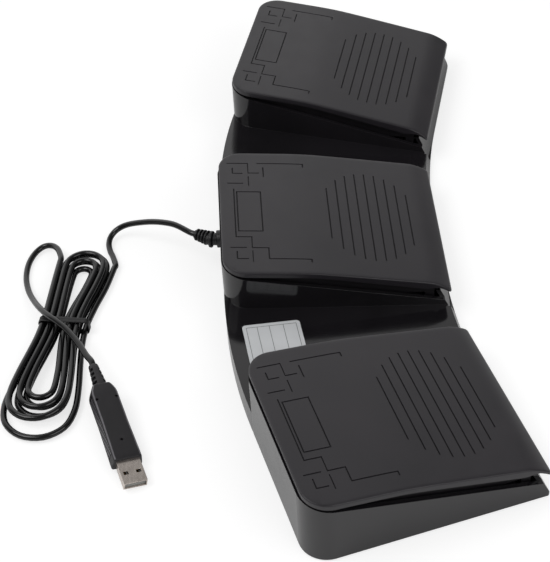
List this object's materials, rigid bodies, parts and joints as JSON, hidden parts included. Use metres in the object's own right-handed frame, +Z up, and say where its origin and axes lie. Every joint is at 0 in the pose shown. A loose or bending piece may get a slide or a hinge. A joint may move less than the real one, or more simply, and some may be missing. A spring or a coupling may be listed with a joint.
{
  "type": "usb foot pedal switch",
  "caption": "Low curved foot switch with wide hinged pedal plates side by side on one glossy base, and a tied USB cord at the rear.",
  "frame": {"origin": "middle of the footprint of the base and its pedals, on the floor, without the cord", "axes": "+X along the row of pedals from the left one to the right one, +Y to the cord side at the rear, +Z up"},
  "size_m": [0.4104, 0.2701, 0.043],
  "materials": {
    "base_gloss": "gloss black moulded plastic",
    "cover_plastic": "matte",
    "foot_rubber": "matte",
    "steel": "satin",
    "spring_steel": "satin",
    "pedal_satin": "satin charcoal with an engraved line pattern",
    "board_green": "satin",
    "switch_case": "matte",
    "plunger_red": "satin",
    "capacitor_sleeve": "satin",
    "socket_nylon": "satin",
    "wire_sleeve": "satin",
    "cord_gloss": "gloss black soft plastic",
    "plug_plastic": "satin",
    "plug_nickel": "bright nickel",
    "contact_brass": "polished",
    "label_silver": "satin silver film with ruled lines"
  },
  "bodies": {
    "base": {"base_shell": "base_gloss", "bottom_cover": "cover_plastic", "rubber_feet": "foot_rubber", "stop_bumpers": "foot_rubber", "cover_screws": "steel", "board_screws": "steel", "hinge_pin_left": "steel", "hinge_pin_centre": "steel", "hinge_pin_right": "steel", "crystal_can": "steel", "return_spring_left": "spring_steel", "return_spring_centre": "spring_steel", "return_spring_right": "spring_steel", "switch_board_left": "board_green", "controller_board": "board_green", "switch_board_right": "board_green", "microswitch_left": "switch_case", "microswitch_centre": "switch_case", "microswitch_right": "switch_case", "controller_chip": "switch_case", "board_capacitors": "capacitor_sleeve", "wire_sockets": "socket_nylon", "plug_tongue": "socket_nylon", "harness_left": "wire_sleeve", "harness_right": "wire_sleeve", "cable_inner": "cord_gloss", "usb_cord_lead": "cord_gloss", "usb_cord_hank": "cord_gloss", "usb_cord_tail": "cord_gloss", "strain_relief": "cord_gloss", "plug_boot": "cord_gloss", "cord_tie": "cord_gloss", "plug_body": "plug_plastic", "plug_shell": "plug_nickel", "plug_contacts": "contact_brass", "rating_label": "label_silver"},
    "left_pedal": {"pedal_left": "pedal_satin"},
    "centre_pedal": {"pedal_centre": "pedal_satin"},
    "right_pedal": {"pedal_right": "pedal_satin"},
    "left_lever": {"switch_lever_left": "steel"},
    "centre_lever": {"switch_lever_centre": "steel"},
    "right_lever": {"switch_lever_right": "steel"},
    "left_plunger": {"switch_plunger_left": "plunger_red"},
    "centre_plunger": {"switch_plunger_centre": "plunger_red"},
    "right_plunger": {"switch_plunger_right": "plunger_red"}
  },
  "joints": [
    {"name": "left_pedal_hinge", "type": "hinge", "parent": "base", "child": "left_pedal", "pos_m": [-0.15755, 0.04712, 0.0325], "axis": [0.967, 0.2546, 0], "range_deg": [0, 2], "stiffness_Nm_per_rad": 2, "springref_deg": -5.73, "deforming": ["return_spring_left"]},
    {"name": "left_lever_hinge", "type": "hinge", "parent": "base", "child": "left_lever", "pos_m": [-0.14133, -0.01449, 0.0234], "axis": [0.967, 0.2546, 0], "range_deg": [0, 10.8]},
    {"name": "left_plunger_slide", "type": "slide", "parent": "base", "child": "left_plunger", "axis": [0, 0, -1], "range_m": [0, 0.0011]},
    {"name": "centre_pedal_hinge", "type": "hinge", "parent": "base", "child": "centre_pedal", "pos_m": [0, 0.06745, 0.0325], "axis": [1, 0, 0], "range_deg": [0, 2], "stiffness_Nm_per_rad": 2, "springref_deg": -5.73, "deforming": ["return_spring_centre"]},
    {"name": "centre_lever_hinge", "type": "hinge", "parent": "base", "child": "centre_lever", "pos_m": [0, 0.00375, 0.0234], "axis": [1, 0, 0], "range_deg": [0, 10.8]},
    {"name": "centre_plunger_slide", "type": "slide", "parent": "base", "child": "centre_plunger", "axis": [0, 0, -1], "range_m": [0, 0.0011]},
    {"name": "right_pedal_hinge", "type": "hinge", "parent": "base", "child": "right_pedal", "pos_m": [0.15755, 0.04712, 0.0325], "axis": [0.967, -0.2546, 0], "range_deg": [0, 2], "stiffness_Nm_per_rad": 2, "springref_deg": -5.73, "deforming": ["return_spring_right"]},
    {"name": "right_lever_hinge", "type": "hinge", "parent": "base", "child": "right_lever", "pos_m": [0.14133, -0.01449, 0.0234], "axis": [0.967, -0.2546, 0], "range_deg": [0, 10.8]},
    {"name": "right_plunger_slide", "type": "slide", "parent": "base", "child": "right_plunger", "axis": [0, 0, -1], "range_m": [0, 0.0011]}
  ],
  "couplings": [
    {"joint": "left_lever_hinge", "follows": "left_pedal_hinge", "ratio": 5.3},
    {"joint": "left_plunger_slide", "follows": "left_pedal_hinge", "m_per_rad": 0.028648},
    {"joint": "centre_lever_hinge", "follows": "centre_pedal_hinge", "ratio": 5.3},
    {"joint": "centre_plunger_slide", "follows": "centre_pedal_hinge", "m_per_rad": 0.028648},
    {"joint": "right_lever_hinge", "follows": "right_pedal_hinge", "ratio": 5.3},
    {"joint": "right_plunger_slide", "follows": "right_pedal_hinge", "m_per_rad": 0.028648}
  ]
}
